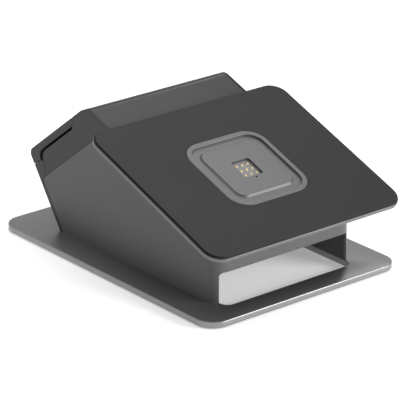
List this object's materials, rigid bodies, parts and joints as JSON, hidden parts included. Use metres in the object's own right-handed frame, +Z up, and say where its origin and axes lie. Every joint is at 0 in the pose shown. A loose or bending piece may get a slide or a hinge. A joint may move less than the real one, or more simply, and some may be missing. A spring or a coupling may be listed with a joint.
{
  "type": "counter docking stand",
  "caption": "Counter-top docking stand: flat base plate, wedge body with front bay, sloped tray with magnetic spring-contact dock, and a rear hub whose ports sit under a hinged door.",
  "frame": {"origin": "on the surface the stand rests on, under the middle of its overall box", "axes": "+X to the right seen from the front, +Y to the back, +Z up"},
  "size_m": [0.25, 0.3508, 0.1538],
  "materials": {
    "base_steel": "satin grey powder coat",
    "foot_rubber": "matt",
    "screw_steel": "bright zinc",
    "shell_grey": "fine matt texture",
    "liner_black": "matt",
    "tray_alloy": "bead-blasted grey anodised",
    "skin_dark": "soft-touch matt",
    "dock_alloy": "satin grey anodised",
    "boss_alloy": "satin grey anodised",
    "keeper_steel": "plain",
    "magnet_nickel": "nickel plated",
    "pipe_dark": "gloss",
    "block_grey": "satin",
    "barrel_brass": "plain",
    "contact_gold": "gold plated",
    "board_green": "solder resist",
    "ribbon_white": "plain",
    "hub_black": "matt",
    "cover_dark": "fine matt texture",
    "cheek_dark": "fine matt texture",
    "socket_metal": "tin plated",
    "inlet_black": "satin"
  },
  "bodies": {
    "stand": {"base_plate": "base_steel", "rubber_feet": "foot_rubber", "base_screws": "screw_steel", "wedge_shell": "shell_grey", "bay_liner": "liner_black", "dock_tray": "tray_alloy", "tray_screws": "screw_steel", "top_skin": "skin_dark", "dock_ring": "dock_alloy", "dock_boss": "boss_alloy", "dock_keeper": "keeper_steel", "dock_screws": "screw_steel", "dock_magnets": "magnet_nickel", "light_pipe": "pipe_dark", "contact_block": "block_grey", "contact_barrels": "barrel_brass", "contact_springs": "screw_steel", "contact_board": "board_green", "board_screws": "screw_steel", "contact_ribbon": "ribbon_white", "hub_housing": "hub_black", "ridge_cover": "cover_dark", "cheek_left": "cheek_dark", "cheek_right": "cheek_dark", "rear_panel": "hub_black", "hinge_pins": "screw_steel", "catch_plates": "keeper_steel", "port_board": "board_green", "usb_sockets": "socket_metal", "network_socket": "socket_metal", "power_inlet": "inlet_black"},
    "door": {"rear_door": "cheek_dark", "door_magnets": "magnet_nickel"},
    "contact_pin_1_body": {"contact_pin_1": "contact_gold"},
    "contact_pin_2_body": {"contact_pin_2": "contact_gold"},
    "contact_pin_3_body": {"contact_pin_3": "contact_gold"},
    "contact_pin_4_body": {"contact_pin_4": "contact_gold"},
    "contact_pin_5_body": {"contact_pin_5": "contact_gold"},
    "contact_pin_6_body": {"contact_pin_6": "contact_gold"},
    "contact_pin_7_body": {"contact_pin_7": "contact_gold"},
    "contact_pin_8_body": {"contact_pin_8": "contact_gold"},
    "contact_pin_9_body": {"contact_pin_9": "contact_gold"}
  },
  "joints": [
    {"name": "door_hinge", "type": "hinge", "parent": "stand", "child": "door", "pos_m": [0, 0.09302, 0.13648], "axis": [1, 0, 0], "range_deg": [0, 105]},
    {"name": "contact_pin_1_press", "type": "slide", "parent": "stand", "child": "contact_pin_1_body", "axis": [0, 0.3394, -0.9406], "range_m": [0, 0.001], "stiffness_N_per_m": 400, "springref_m": -0.0006, "deforming": ["contact_springs"]},
    {"name": "contact_pin_2_press", "type": "slide", "parent": "stand", "child": "contact_pin_2_body", "axis": [0, 0.3394, -0.9406], "range_m": [0, 0.001], "stiffness_N_per_m": 400, "springref_m": -0.0006, "deforming": ["contact_springs"]},
    {"name": "contact_pin_3_press", "type": "slide", "parent": "stand", "child": "contact_pin_3_body", "axis": [0, 0.3394, -0.9406], "range_m": [0, 0.001], "stiffness_N_per_m": 400, "springref_m": -0.0006, "deforming": ["contact_springs"]},
    {"name": "contact_pin_4_press", "type": "slide", "parent": "stand", "child": "contact_pin_4_body", "axis": [0, 0.3394, -0.9406], "range_m": [0, 0.001], "stiffness_N_per_m": 400, "springref_m": -0.0006, "deforming": ["contact_springs"]},
    {"name": "contact_pin_5_press", "type": "slide", "parent": "stand", "child": "contact_pin_5_body", "axis": [0, 0.3394, -0.9406], "range_m": [0, 0.001], "stiffness_N_per_m": 400, "springref_m": -0.0006, "deforming": ["contact_springs"]},
    {"name": "contact_pin_6_press", "type": "slide", "parent": "stand", "child": "contact_pin_6_body", "axis": [0, 0.3394, -0.9406], "range_m": [0, 0.001], "stiffness_N_per_m": 400, "springref_m": -0.0006, "deforming": ["contact_springs"]},
    {"name": "contact_pin_7_press", "type": "slide", "parent": "stand", "child": "contact_pin_7_body", "axis": [0, 0.3394, -0.9406], "range_m": [0, 0.001], "stiffness_N_per_m": 400, "springref_m": -0.0006, "deforming": ["contact_springs"]},
    {"name": "contact_pin_8_press", "type": "slide", "parent": "stand", "child": "contact_pin_8_body", "axis": [0, 0.3394, -0.9406], "range_m": [0, 0.001], "stiffness_N_per_m": 400, "springref_m": -0.0006, "deforming": ["contact_springs"]},
    {"name": "contact_pin_9_press", "type": "slide", "parent": "stand", "child": "contact_pin_9_body", "axis": [0, 0.3394, -0.9406], "range_m": [0, 0.001], "stiffness_N_per_m": 400, "springref_m": -0.0006, "deforming": ["contact_springs"]}
  ]
}
